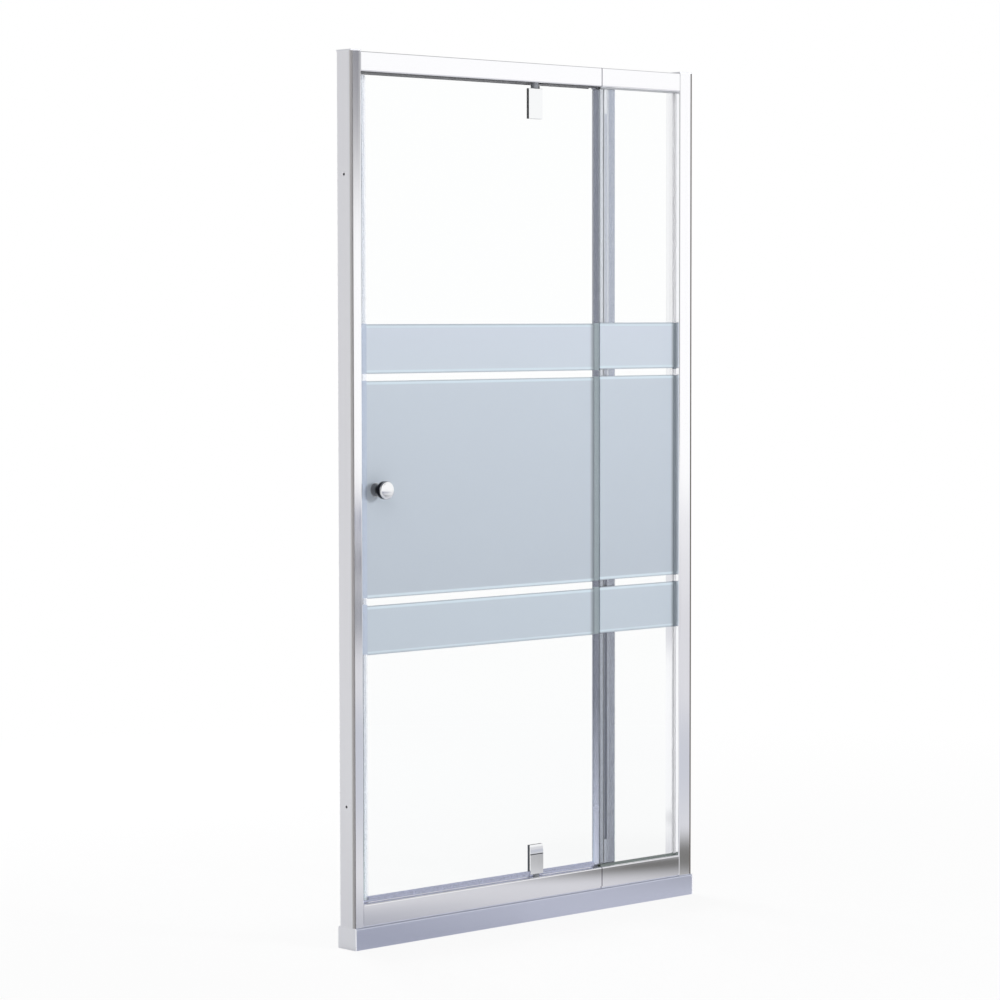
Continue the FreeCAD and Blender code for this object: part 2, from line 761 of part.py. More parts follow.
def make_drip_seals():
    """Two lengths of channel on the pane's lower edge, either side of the block, with a fin over the sill."""
    body = new_body("door_drip_seals", y=seal_front, z=door_base)
    fin_low = f"({seal_width} / 2 - drip_fin / 2)"
    fin_high = f"({seal_width} / 2 + drip_fin / 2)"
    fin_end = "(sweep_gap - door_base_gap)"
    runs = [
        (f"({door_left} + seal_grip + seal_break)", f"({pivot_line} - block_width / 2 - seal_break)"),
        (f"({pivot_line} + block_width / 2 + seal_break)", f"({door_right} - seal_grip - seal_break)"),
    ]
    for left, right in runs:
        section = new_sketch(body, "YZ_Plane", left)
        outline(section, [
            (fin_low, fin_end), (fin_high, fin_end), (fin_high, "-drip_floor"), (seal_width, "-drip_floor"),
            (seal_width, "drip_grip"), ("seal_cheek + glass_thick", "drip_grip"),
            ("seal_cheek + glass_thick", "0"), ("seal_cheek", "0"), ("seal_cheek", "drip_grip"),
            ("0", "drip_grip"), ("0", "-drip_floor"), (fin_low, "-drip_floor"),
        ])
        pad(body, section, f"{right} - {left}")
        doc.recompute()


# Pivots. Each block is drawn with its pivot end at zero and turned over for the top of the door.
block_half = "(block_width / 2)"
web_half = "(web_width / 2)"
clamp_half = "(glass_thick / 2 + block_pad)"
turned = (0, 1, 0)


def pivot_body(label, top):
    if top:
        return new_body(label, x=pivot_line, y=glass_middle, z=block_top, turn=turned)
    return new_body(label, x=pivot_line, y=glass_middle, z=block_base)


def front_rim(edge, whole):
    """Edges that lie in the front face."""
    return near(edge.YMin, whole.YMin) and near(edge.YMax, whole.YMin)


def make_outer_block(label, top):
    """The visible half: a plate in front of the pane, and a web that fills its notch and holds the pin."""
    body = pivot_body(label, top)
    face = new_sketch(body, "XZ_Plane", clamp_half)
    rectangle(face, f"-{block_half}", "0", block_half, "block_height")
    plate = pad(body, face, "block_cheek")
    chamfer(body, plate, "min(block_chamfer; block_cheek / 2)", front_rim)
    doc.recompute()
    filling = new_sketch(body, "XZ_Plane", clamp_half)
    rectangle(filling, f"-{web_half}", "0", web_half, "web_height")
    web = pad(body, filling, f"{clamp_half} * 2", against=True)

    def web_corner(edge, whole):
        across = near(edge.XLength, 0) and near(edge.ZLength, 0) and near(edge.YMax, whole.YMax)
        return across and whole.ZMin < edge.ZMin

    fillet(body, web, "web_radius", web_corner)
    doc.recompute()
    seam = new_sketch(body, "XZ_Plane", f"{clamp_half} + block_cheek")
    rectangle(
        seam, f"-{block_half} - overrun", "block_height - block_seam",
        f"{block_half} + overrun", "block_height - block_seam + seam_width",
    )
    pocket(body, seam, "seam_depth")
    end = new_sketch(body, "XY_Plane")
    circle(end, "0", "0", "pin_thick + pin_fit * 2")
    pocket(body, end, "pin_depth + pin_fit", along=True)
    threads = new_sketch(body, "XZ_Plane", f"-{clamp_half}")
    for side in ("-", ""):
        circle(threads, f"{side}clamp_spread / 2", "clamp_height", "screw_shank + pin_fit * 2")
    pocket(body, threads, "clamp_grip - block_cheek + pin_fit", along=True)


def make_inner_block(label, top):
    """The half behind the pane: a plate that the clamp screws pull against the pads."""
    body = pivot_body(label, top)
    face = new_sketch(body, "XZ_Plane", f"-{clamp_half}")
    rectangle(face, f"-{block_half}", "0", block_half, "block_height")
    for side in ("-", ""):
        circle(face, f"{side}clamp_spread / 2", "clamp_height", "screw_shank + pin_fit * 2")
    pad(body, face, "block_cheek", against=True)


def make_block_pads(label, top):
    """Two thin soft sheets round the web, one on each face of the pane."""
    body = pivot_body(label, top)
    for offset in (clamp_half, "(-glass_thick / 2)"):
        face = new_sketch(body, "XZ_Plane", offset)
        outline(face, [
            (f"-{block_half}", "0"), (f"-{web_half} - notch_gap", "0"),
            (f"-{web_half} - notch_gap", "web_height + notch_gap"),
            (f"{web_half} + notch_gap", "web_height + notch_gap"), (f"{web_half} + notch_gap", "0"),
            (block_half, "0"), (block_half, "block_height"), (f"-{block_half}", "block_height"),
        ])
        pad(body, face, "block_pad", against=True)
        doc.recompute()


def make_pin(label, top):
    body = pivot_body(label, top)
    plan = new_sketch(body, "XY_Plane")
    circle(plan, "0", "0", "pin_thick")
    pad(body, plan, "pin_depth")
    doc.recompute()
    tail = new_sketch(body, "XY_Plane")
    circle(tail, "0", "0", "pin_thick")
    flange = "bush_high" if top else "bush_low"
    pad(body, tail, f"turn_gap + {flange} + pin_reach", against=True)


def make_bushes():
    """Flanged bushes, their bodies in the rails and their flanges between rail and block."""
    body = new_body("pivot_bushes", x=pivot_line, y=glass_middle)
    bore = "(pin_thick / 2 + pin_fit)"
    for rail, to_rail, to_door, flange in (
        (sill_top, "-", "+", "bush_low"), (header_base, "+", "-", "bush_high"),
    ):
        section = new_sketch(body, "XZ_Plane")
        outline(section, [
            (bore, f"{rail} {to_door} {flange}"), ("bush_flange / 2", f"{rail} {to_door} {flange}"),
            ("bush_flange / 2", rail), ("bush_body / 2", rail),
            ("bush_body / 2", f"{rail} {to_rail} bush_reach"), (bore, f"{rail} {to_rail} bush_reach"),
        ])
        revolve(body, section, "V_Axis")
        doc.recompute()


def make_clamp_screws():
    """Two screws through each inner block into the outer one."""
    body = new_body("pivot_clamp_screws", x=pivot_line, y=glass_middle)
    levels = [f"{block_base} + clamp_height", f"{block_top} - clamp_height"]
    places = [(f"{side}clamp_spread / 2", level) for side in ("-", "") for level in levels]
    heads = new_sketch(body, "XZ_Plane", f"-{clamp_half} - block_cheek")
    for across, up in places:
        hexagon(heads, across, up, "screw_head")
    pad(body, heads, "screw_head_thick", against=True)
    doc.recompute()
    shanks = new_sketch(body, "XZ_Plane", f"-{clamp_half} - block_cheek")
    for across, up in places:
        circle(shanks, across, up, "screw_shank")
    pad(body, shanks, "clamp_grip")


# Knob: a turned knob on each face of the pane, drawn together by one stud
knob_back = "-(glass_thick / 2 + washer_thick)"


def rim_circle(edge, whole):
    """The round edge at the outer end of the knob's head."""
    return near(edge.YMin, whole.YMin) and near(edge.YMax, whole.YMin) and edge.XLength > 0


def make_knob(label, turn):
    """A straight neck that flares to a round head, with a blind bore for the stud."""
    body = new_body(label, x=knob_line, y=glass_middle, z=knob_level, turn=turn)
    half = new_sketch(body, "XY_Plane")
    bore = "(stud_thick / 2 + stud_fit)"
    knob_front = f"({knob_back} - knob_reach)"
    shoulder = f"({knob_front} + knob_head_thick)"
    bore_end = f"({knob_back} - stud_depth)"
    outline(half, [
        (bore, knob_back), ("knob_neck / 2", knob_back), ("knob_neck / 2", f"{shoulder} + knob_flare"),
        ("knob_head / 2", shoulder), ("knob_head / 2", knob_front),
        ("0", knob_front), ("0", bore_end), (bore, bore_end),
    ])
    turning = revolve(body, half, "V_Axis")
    chamfer(body, turning, "min(knob_rim; knob_head_thick / 2)", rim_circle)


def make_knob_stud():
    body = new_body("knob_stud", x=knob_line, y=glass_middle, z=knob_level)
    half_length = "(glass_thick / 2 + washer_thick + stud_depth - stud_end_gap)"
    face = new_sketch(body, "XZ_Plane", f"-{half_length}")
    circle(face, "0", "0", "stud_thick")
    pad(body, face, f"{half_length} * 2")


def make_knob_washers():
    """A flat washer on each face of the pane, to keep the metal off the glass."""
    body = new_body("knob_washers", x=knob_line, y=glass_middle, z=knob_level)
    for face in ("(glass_thick / 2)", "(-glass_thick / 2 - washer_thick)"):
        ring = new_sketch(body, "XZ_Plane", face)
        circle(ring, "0", "0", "washer_width")
        circle(ring, "0", "0", "stud_thick + stud_fit * 2")
        pad(body, ring, "washer_thick")
        doc.recompute()


half_turn_z = (0, 0, 1)

make_plinth()
make_plinth_cap("plinth_cap_left", left_wall, None)
make_plinth_cap("plinth_cap_right", right_wall, half_turn_z)
make_wall_channel("wall_channel_left", left_wall, None)
make_wall_channel("wall_channel_right", right_wall, half_turn_z)
make_lock_jamb()
make_panel_jamb()
make_jamb_cap("jamb_cap_left", left_wall, "lock_jamb_face", None)
make_jamb_cap("jamb_cap_right", right_wall, "panel_jamb_face", half_turn_z)

door_run = f"({rail_joint} - {lock_face})"
header_door = make_rail(
    "header_door_rail", lock_face, door_run, header_door_outline, header_door_hollow, front_long_edges,
)
bore_for_bush(header_door, header_base, upwards=True)
make_rail(
    "header_panel_rail", rail_joint, "panel_run", header_panel_outline, header_panel_hollow, front_long_edges,
)
make_splice("header_splice", header_panel_hollow)
sill_door = make_rail(
    "sill_door_rail", lock_face, door_run, sill_door_outline, sill_door_hollow, upper_front_edge,
)
bore_for_bush(sill_door, sill_top, upwards=False)
make_rail(
    "sill_panel_rail", rail_joint, "panel_run", sill_panel_outline, sill_panel_hollow, upper_front_edge,
)
make_splice("sill_splice", sill_panel_hollow)

make_frame_screws("frame_screws_left", f"{lock_face} - jamb_wall", door_ports, against=False)
make_frame_screws(
    "frame_screws_right", f"{panel_face} + glazing_depth + jamb_wall", panel_ports, against=True,
)
make_lock_screws()

make_post()
make_post_bracket("post_bracket_bottom", sill_top, downwards=False)
make_post_bracket("post_bracket_top", header_base, downwards=True)
make_post_gasket()
make_panel_glass()
make_rail_gasket("panel_gasket_bottom", f"{sill_top} - glazing_depth", upside_down=False)
make_rail_gasket("panel_gasket_top", f"{header_base} + glazing_depth", upside_down=True)
make_jamb_gasket()
make_bands(
    "panel_frosted_bands", panel_left, f"{panel_face} - gasket_proud - band_gap",
    "panel_band_rise", knob_cut=False,
)
make_magnet_strip()

make_door_glass()
make_bands(
    "door_frosted_bands", f"({door_left} + seal_grip + band_gap)", f"({door_right} - seal_grip - band_gap)",
    "0", knob_cut=True,
)
make_magnet_seal()
make_fin_seal()
make_drip_seals()
make_bushes()
make_clamp_screws()
for end, top in (("bottom", False), ("top", True)):
    make_outer_block(f"pivot_block_outer_{end}", top)
    make_inner_block(f"pivot_block_inner_{end}", top)
    make_block_pads(f"pivot_pads_{end}", top)
    make_pin(f"pivot_pin_{end}", top)
make_knob("knob_outer", None)
make_knob("knob_inner", half_turn_z)
make_knob_stud()
make_knob_washers()

# Nothing is written unless every object is sound
doc.recompute()
for item in doc.Objects:
    if "Invalid" in item.State or "Error" in item.State:
        raise RuntimeError(f"{item.Label}: {item.State}")
bodies = [item for item in doc.Objects if item.TypeId == "PartDesign::Body"]
for body in bodies:
    if body.Shape.isNull() or not body.Shape.isValid() or not body.Shape.Solids:
        raise RuntimeError(f"{body.Label}: no sound solid")

os.makedirs("parts", exist_ok=True)
for body in bodies:
    body.Shape.exportStep(f"parts/{body.Label}.step")
print(len(bodies), "pieces written")
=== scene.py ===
import math
import bpy
import numpy as np
from mathutils import Matrix, Vector


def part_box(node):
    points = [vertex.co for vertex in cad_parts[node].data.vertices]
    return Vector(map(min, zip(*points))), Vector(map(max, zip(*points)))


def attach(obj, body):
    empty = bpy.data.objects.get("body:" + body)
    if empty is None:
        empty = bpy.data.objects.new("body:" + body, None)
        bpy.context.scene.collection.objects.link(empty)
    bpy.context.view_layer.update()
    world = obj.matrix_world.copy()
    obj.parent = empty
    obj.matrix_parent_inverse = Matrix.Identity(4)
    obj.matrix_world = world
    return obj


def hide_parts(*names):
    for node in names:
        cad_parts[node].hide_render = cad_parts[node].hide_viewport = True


# Pivot shower door with an in-line fixed pane. Metres; X along the opening, Y into the shower, Z up.
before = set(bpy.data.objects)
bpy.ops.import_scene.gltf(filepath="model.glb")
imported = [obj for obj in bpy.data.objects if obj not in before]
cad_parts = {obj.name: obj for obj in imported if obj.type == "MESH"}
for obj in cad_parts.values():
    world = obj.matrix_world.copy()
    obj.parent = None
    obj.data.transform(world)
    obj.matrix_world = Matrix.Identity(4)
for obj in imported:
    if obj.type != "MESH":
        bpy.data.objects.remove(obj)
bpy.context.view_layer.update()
scene = bpy.context.scene
scene.view_settings.view_transform = "Standard"
print("frame loaded:", len(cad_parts), "nodes")

mm = 0.001
white, black = (1.0, 1.0, 1.0, 1.0), (0.0, 0.0, 0.0, 1.0)
noiseSpread = (0.3, 0.7)  # most of a noise pattern lies between these values


def linear(hexText):
    # sRGB hex to linear colour with full alpha
    shares = [int(hexText[i:i + 2], 16) / 255 for i in (1, 3, 5)]
    return tuple(c / 12.92 if c <= 0.04045 else ((c + 0.055) / 1.055) ** 2.4 for c in shares) + (1.0,)


def setInputs(tree, node, inputs):
    # an input is linked where its value comes from another node, and set on its own socket otherwise
    for key, value in inputs.items():
        if isinstance(value, bpy.types.NodeSocket):
            tree.links.new(value, node.inputs[key])
        else:
            node.inputs[key].default_value = value


def addNode(tree, kind, inputs, **settings):
    node = tree.nodes.new(kind)
    for key, value in settings.items():
        setattr(node, key, value)
    setInputs(tree, node, inputs)
    return node


def calc(tree, operation, *values, clamp=False):
    # one sum on up to three values
    node = addNode(tree, "ShaderNodeMath", dict(enumerate(values)), operation=operation, use_clamp=clamp)
    return node.outputs[0]


def distanceFrom(tree, value, middle):
    return calc(tree, "ABSOLUTE", calc(tree, "SUBTRACT", value, middle))


def remap(tree, value, fromEnds, toEnds=(0.0, 1.0), smooth=False):
    # a value carried from one range to another and held at its ends
    return addNode(tree, "ShaderNodeMapRange", {
        "Value": value, "From Min": fromEnds[0], "From Max": fromEnds[1],
        "To Min": toEnds[0], "To Max": toEnds[1],
    }, interpolation_type="SMOOTHSTEP" if smooth else "LINEAR").outputs[0]


def mixTones(tree, share, first, second):
    # the first tone where share is 0, the second where it is 1
    mix = addNode(tree, "ShaderNodeMix", {"Factor": share, "A": first, "B": second}, data_type="RGBA")
    return mix.outputs["Result"]


def noise(tree, place, size, detail):
    inputs = {"Vector": place, "Scale": 1 / size, "Detail": detail}
    return addNode(tree, "ShaderNodeTexNoise", inputs).outputs["Fac"]


def bumped(tree, height, strength, distance):
    inputs = {"Height": height, "Strength": strength, "Distance": distance}
    return addNode(tree, "ShaderNodeBump", inputs).outputs[0]


def split(tree, place):
    return addNode(tree, "ShaderNodeSeparateXYZ", {0: place}).outputs


def newMaterial(name):
    # the material with its nodes, its shader and the place on the object
    material = bpy.data.materials.new(name)
    material.use_nodes = True
    tree = material.node_tree
    place = addNode(tree, "ShaderNodeTexCoord", {}).outputs["Object"]
    return material, tree, tree.nodes["Principled BSDF"], place


def dress(material, *nodeNames):
    # the CAD node keeps its mesh and takes the finish
    for nodeName in nodeNames:
        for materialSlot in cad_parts[nodeName].material_slots:
            materialSlot.material = material


# Extruded aluminium: the die draws fine lines along the bar, so gloss and tone change across it, hardly
# along it. Stretch is how much slower the pattern changes along the bar than across it.
drawing = {"stretch": 0.002, "detail": 3.0}
extrusions = {
    "aluminium_polished_header": {
        "tone": "#fdfdff", "rough": (0.05, 0.1), "line": 2.5 * mm, "relief": 0.0012 * mm, "along": "x",
        "joint": 2.0 * mm, "jointTone": "#9a99a1",
        "nodes": ["header_door_rail", "header_panel_rail"],
    },
    "aluminium_polished_sill": {
        "tone": "#f2f2f5", "rough": (0.05, 0.1), "line": 2.5 * mm, "relief": 0.0012 * mm, "along": "x",
        "joint": 2.0 * mm, "jointTone": "#9a99a1", "crown": 0.5 * mm,
        "nodes": ["sill_door_rail", "sill_panel_rail"],
    },
    "aluminium_polished_upright": {
        "tone": "#fdfdff", "rough": (0.05, 0.1), "line": 2.5 * mm, "relief": 0.0012 * mm, "along": "z",
        "fall": 0.044,
        "nodes": ["jamb_left", "jamb_right"],
    },
    "aluminium_satin_plinth": {
        "tone": "#d3d7e7", "rough": (0.34, 0.42), "line": 1.5 * mm, "relief": 0.003 * mm, "along": "x",
        "nodes": ["plinth"],
    },
    # the post's tone is a painted shade of the panes on its sides; its front, slot and back take painted
    # lighter tones
    "aluminium_satin_post": {
        "tone": "#858994", "rough": (0.2, 0.28), "line": 1.5 * mm, "relief": 0.002 * mm, "along": "z",
        "lip": ("#8f93a0", "#b4b9c8"), "lipDepth": 5 * mm, "backTone": "#c8cbd4", "backDepth": 0.5 * mm,
        "slot": ("#a9adb9", "#f0f2f8"), "slotMiddle": 14 * mm, "slotReach": (9.5 * mm, 16 * mm),
        "nodes": ["post", "post_bracket_bottom", "post_bracket_top"],
    },
    "aluminium_mill_splice": {
        "tone": "#8d8c8f", "rough": (0.3, 0.42), "line": 1.5 * mm, "relief": 0.003 * mm, "along": "x",
        "nodes": ["header_splice", "sill_splice"],
    },
    # painted shade: the front lips of the wall channels are painted darker for the shade of the reveal, the
    # right one darker than the left
    "aluminium_matt_channel_left": {
        "tone": "#fafafc", "rough": (0.75, 0.85), "line": 1.5 * mm, "relief": 0.002 * mm, "along": "z",
        "lip": ("#dddbda", "#dddbda"), "lipDepth": 4 * mm, "nodes": ["wall_channel_left"],
    },
    "aluminium_matt_channel_right": {
        "tone": "#fafafc", "rough": (0.75, 0.85), "line": 1.5 * mm, "relief": 0.002 * mm, "along": "z",
        "lip": ("#98938f", "#98938f"), "lipDepth": 4 * mm, "nodes": ["wall_channel_right"],
    },
}
for name, look in extrusions.items():
    material, tree, shader, place = newMaterial(name)
    axes = split(tree, place)
    low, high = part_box(look["nodes"][0])
    across = 1 / look["line"]
    scales = [across * (drawing["stretch"] if axis == look["along"] else 1) for axis in "xyz"]
    mapping = addNode(tree, "ShaderNodeMapping", {"Vector": place, "Scale": scales})
    lines = noise(tree, mapping.outputs[0], 1.0, drawing["detail"])
    height = calc(tree, "MULTIPLY", lines, look["relief"])
    if "crown" in look:
        # the face is rolled a little proud in the middle: -crown * (distance from the middle / half height)^2
        share = remap(tree, axes["Z"], (low[2], high[2]), (-1.0, 1.0))
        height = calc(tree, "MULTIPLY_ADD", calc(tree, "MULTIPLY", share, share), -look["crown"], height)
    if "fall" in look:
        # the face falls away a little toward the lock side
        height = calc(tree, "MULTIPLY_ADD", axes["X"], look["fall"], height)
    # the height is in metres already, so the bump takes it whole
    setInputs(tree, shader, {
        "Base Color": linear(look["tone"]), "Metallic": 1.0,
        "Roughness": remap(tree, lines, noiseSpread, look["rough"]), "Normal": bumped(tree, height, 1.0, 1.0),
    })
    if "lip" in look:
        # the front strip takes painted tones unlike the sides: a painted shade on the recessed lips of the
        # channels, a painted reflection on the post.
        # It goes from the first tone below the frosted bands to the second above them, so on the post it is
        # painted lighter toward the top.
        bandsLow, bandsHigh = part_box("panel_frosted_bands")
        rise = remap(tree, axes["Z"], (bandsLow[2], bandsHigh[2]))
        share = remap(tree, axes["Y"], (low[1], low[1] + look["lipDepth"]))
        tone = mixTones(tree, share, mixTones(tree, rise, *map(linear, look["lip"])), linear(look["tone"]))
        if "slot" in look:
            # painted highlight: the slot down the front and the rims beside it are painted brightest, lighter
            # toward the top
            away = distanceFrom(tree, axes["X"], low[0] + look["slotMiddle"])
            share = remap(tree, away, look["slotReach"])
            tone = mixTones(tree, share, mixTones(tree, rise, *map(linear, look["slot"])), tone)
        if "backTone" in look:
            # the back stands clear of the panes and is as bright as the rest of the frame; the darker tone of
            # the sides is a painted shade of the panes
            share = remap(tree, axes["Y"], (high[1] - look["backDepth"], high[1] - look["backDepth"] / 2))
            tone = mixTones(tree, share, tone, linear(look["backTone"]))
        setInputs(tree, shader, {"Base Color": tone})
    if "joint" in look:
        # the sawn ends of the two lengths meet in a grey hairline
        away = distanceFrom(tree, axes["X"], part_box("header_door_rail")[1][0])
        share = remap(tree, away, (look["joint"] / 2, look["joint"]))
        tone = mixTones(tree, share, linear(look["jointTone"]), linear(look["tone"]))
        setInputs(tree, shader, {"Base Color": tone})
    dress(material, *look["nodes"])
print("extrusions dressed")

# Chromium plate and steel: mirror-bright, with a faint unevenness from the polishing wheel
polish = {"detail": 2.0, "strength": 0.2}
brightMetals = {
    "chrome_plate": {
        "tone": "#f7f8f9", "rough": (0.03, 0.07), "patch": 6 * mm, "relief": 0.02 * mm,
        "nodes": ["pivot_block_outer_bottom", "pivot_block_outer_top",
                  "pivot_block_inner_bottom", "pivot_block_inner_top"],
    },
    "chrome_plate_knob": {
        "tone": "#f7f8f9", "rough": (0.03, 0.07), "patch": 6 * mm, "relief": 0.02 * mm,
        # painted reflection at the foot and painted shade in the neck, both set in the base colour
        "foot": "#e6eaee", "footEnds": (11 * mm, 17 * mm),
        "neck": "#1b1c1f", "neckEnds": (36 * mm, 40.5 * mm),
        "nodes": ["knob_outer", "knob_inner"],
    },
    "stainless_steel_turned": {
        "tone": "#b9b9bb", "rough": (0.18, 0.28), "patch": 1.5 * mm, "relief": 0.01 * mm,
        "nodes": ["frame_screws_left", "frame_screws_right", "jamb_lock_screws", "knob_stud",
                  "pivot_clamp_screws", "pivot_pin_bottom", "pivot_pin_top"],
    },
}
for name, look in brightMetals.items():
    material, tree, shader, place = newMaterial(name)
    patches = noise(tree, place, look["patch"], polish["detail"])
    setInputs(tree, shader, {
        "Base Color": linear(look["tone"]), "Metallic": 1.0,
        "Roughness": remap(tree, patches, noiseSpread, look["rough"]),
        "Normal": bumped(tree, patches, polish["strength"], look["relief"]),
    })
    if "neck" in look:
        # painted reflection and painted shade: the foot is painted pale for the pane it mirrors, the hollow
        # of the neck painted dark for its own shade, and the head keeps the bright tone
        low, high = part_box("door_glass")
        away = distanceFrom(tree, split(tree, place)["Y"], (low[1] + high[1]) / 2)
        tone = linear(look["foot"])
        for ends, nextTone in (("footEnds", "neck"), ("neckEnds", "tone")):
            tone = mixTones(tree, remap(tree, away, look[ends], smooth=True), tone, linear(look[nextTone]))
        setInputs(tree, shader, {"Base Color": tone})
    dress(material, *look["nodes"])
print("chrome and steel dressed")

# Frosted bands: fired-on frit, a fine matt grain, with a painted dark line at each edge and a painted pale
# line inside it, standing in for the shadow and reflection of the band's edge in the glass.
# The bands are painted a little paler toward the top, a painted gradient of the light from above, so each,
# from the foot up, has a tone at its foot and its head.
frosting = {
    "outer": 102 * mm, "clear": 15 * mm, "middle": 449 * mm,
    "edgeLine": 2.2 * mm, "soft": 0.8 * mm, "paleLine": 3.2 * mm,
    "shades": {"door": (14 * mm, 0.42), "panel": (11 * mm, 0.42)},
    "bodies": (("#b8c2cc", "#b9c3cd"), ("#b3bcc6", "#bcc5cf"), ("#c1cad4", "#c3cbd6")),
    "edge": "#9aa2ad", "pale": "#cbd8e1", "grain": 1.6 * mm, "relief": 0.05 * mm,
    "detail": 4.0, "strength": 0.4, "rough": (0.42, 0.58),
}
bandSpans = []
bandLevel = 0.0
for height in (frosting["outer"], frosting["middle"], frosting["outer"]):
    bandSpans.append((bandLevel, bandLevel + height))
    bandLevel += height + frosting["clear"]

# Moulded and extruded plastics and rubbers: a soft skin with a fine mould grain
mould = {"detail": 3.0, "strength": 0.35, "bandAlpha": 0.85}
plastics = {
    "vinyl_seal_lock": {
        "tone": "#dfe5f1", "rough": (0.2, 0.3), "grain": 1.2 * mm, "relief": 0.001 * mm,
        "alpha": 0.16, "bandTone": "#b9c3d3", "nodes": ["door_magnet_seal"],
    },
    "vinyl_seal_free": {
        "tone": "#7d818e", "rough": (0.2, 0.3), "grain": 1.2 * mm, "relief": 0.001 * mm,
        "alpha": 0.4, "bandTone": "#929da3", "footTone": "#d2d6e6", "footReach": 360 * mm,
        "nodes": ["door_fin_seal"],
    },
    "vinyl_strip_clear": {
        "tone": "#dfe5f1", "rough": (0.2, 0.3), "grain": 1.2 * mm, "relief": 0.001 * mm,
        "alpha": 0.06, "nodes": ["jamb_magnet_strip", "panel_post_gasket"],
    },
    "rubber_gasket_white": {
        "tone": "#fafafc", "rough": (0.5, 0.65), "grain": 0.8 * mm, "relief": 0.01 * mm,
        "bandTone": "#909aa3", "nodes": ["panel_gasket_jamb"],
    },
    "vinyl_seal_lavender": {
        "tone": "#d3d8f0", "rough": (0.22, 0.34), "grain": 1.2 * mm, "relief": 0.03 * mm, "through": 0.45,
        "nodes": ["door_drip_seals"],
    },
    "rubber_gasket_grey": {
        "tone": "#7d8583", "rough": (0.5, 0.65), "grain": 0.8 * mm, "relief": 0.03 * mm,
        "nodes": ["panel_gasket_bottom"],
    },
    "rubber_gasket_pale": {
        "tone": "#b4b6ba", "rough": (0.5, 0.65), "grain": 0.8 * mm, "relief": 0.03 * mm,
        "nodes": ["panel_gasket_top"],
    },
    "rubber_pad_dark": {
        "tone": "#3a3d42", "rough": (0.55, 0.7), "grain": 0.8 * mm, "relief": 0.03 * mm,
        "nodes": ["pivot_pads_bottom", "pivot_pads_top"],
    },
    "abs_cap_pale": {
        "tone": "#f0f1f6", "rough": (0.3, 0.4), "grain": 0.9 * mm, "relief": 0.04 * mm,
        "nodes": ["plinth_cap_left", "plinth_cap_right", "jamb_cap_left", "jamb_cap_right"],
    },
    "nylon_turned_grey": {
        "tone": "#85888e", "rough": (0.42, 0.55), "grain": 0.7 * mm, "relief": 0.03 * mm,
        "nodes": ["pivot_bushes", "knob_washers"],
    },
    # painted shade: the dark strip under the header's door rail
    "shade_strip_dark": {
        "tone": "#4a4b4f", "rough": (0.4, 0.55), "grain": 1.0 * mm, "relief": 0.03 * mm,
        "nodes": [],
    },
}
for name, look in plastics.items():
    material, tree, shader, place = newMaterial(name)
    grain = noise(tree, place, look["grain"], mould["detail"])
    setInputs(tree, shader, {
        "Base Color": linear(look["tone"]), "Transmission Weight": look.get("through", 0.0),
        "Alpha": look.get("alpha", 1.0), "Roughness": remap(tree, grain, noiseSpread, look["rough"]),
        "Normal": bumped(tree, grain, mould["strength"], look["relief"]),
    })
    if "bandTone" in look:
        # at the heights of the frosted bands the lip is painted in its band tone: on the clear seals a
        # painted look of the bands behind, with the lip made less clear there, and on the white gasket a
        # painted shade of the bands
        level = split(tree, place)["Z"]
        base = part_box("door_frosted_bands")[0][2] - frosting["clear"]
        whole = bandSpans[-1][1] + 2 * frosting["clear"]
        mask = addNode(tree, "ShaderNodeValToRGB", {"Fac": remap(tree, level, (base, base + whole))})
        mask.color_ramp.interpolation = "CONSTANT"
        elements = mask.color_ramp.elements
        elements[1].color = elements[0].color
        for start, end in bandSpans:
            elements.new((start + frosting["clear"]) / whole).color = white
            elements.new((end + frosting["clear"]) / whole).color = black
        banded = mask.outputs["Color"]
        tone = linear(look["tone"])
        if "footTone" in look:
            # the lip is paler toward its foot
            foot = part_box(look["nodes"][0])[0][2]
            share = remap(tree, level, (foot, foot + look["footReach"]))
            tone = mixTones(tree, share, linear(look["footTone"]), tone)
        setInputs(tree, shader, {"Base Color": mixTones(tree, banded, tone, linear(look["bandTone"]))})
        if "alpha" in look:
            alpha = remap(tree, banded, (0.0, 1.0), (look["alpha"], mould["bandAlpha"]))
            setInputs(tree, shader, {"Alpha": alpha})
    dress(material, *look["nodes"])
print("seals, gaskets and caps dressed")

# Toughened float glass: clear through the face, faintly wavy from the furnace rollers, blue-green at the edge
glassLook = {
    "wave": 180 * mm, "relief": 0.02 * mm, "edgeTint": "#d3ece8", "tintDensity": 6.0,
    "detail": 1.0, "strength": 0.1, "ior": 1.5, "nodes": ["door_glass", "panel_glass"],
}
material, tree, shader, place = newMaterial("glass_toughened_clear")
waves = noise(tree, place, glassLook["wave"], glassLook["detail"])
setInputs(tree, shader, {
    "Base Color": white, "Transmission Weight": 1.0, "Roughness": 0.0, "IOR": glassLook["ior"],
    "Normal": bumped(tree, waves, glassLook["strength"], glassLook["relief"]),
})
tint = addNode(tree, "ShaderNodeVolumeAbsorption", {
    "Color": linear(glassLook["edgeTint"]), "Density": glassLook["tintDensity"],
})
setInputs(tree, tree.nodes["Material Output"], {"Volume": tint.outputs[0]})
dress(material, *glassLook["nodes"])

# clear panes and seals and the thin white gasket let the studio light through
thinSeals = ["door_magnet_seal", "door_fin_seal", "panel_gasket_jamb"]
for nodeName in glassLook["nodes"] + thinSeals + plastics["vinyl_strip_clear"]["nodes"]:
    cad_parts[nodeName].visible_shadow = False

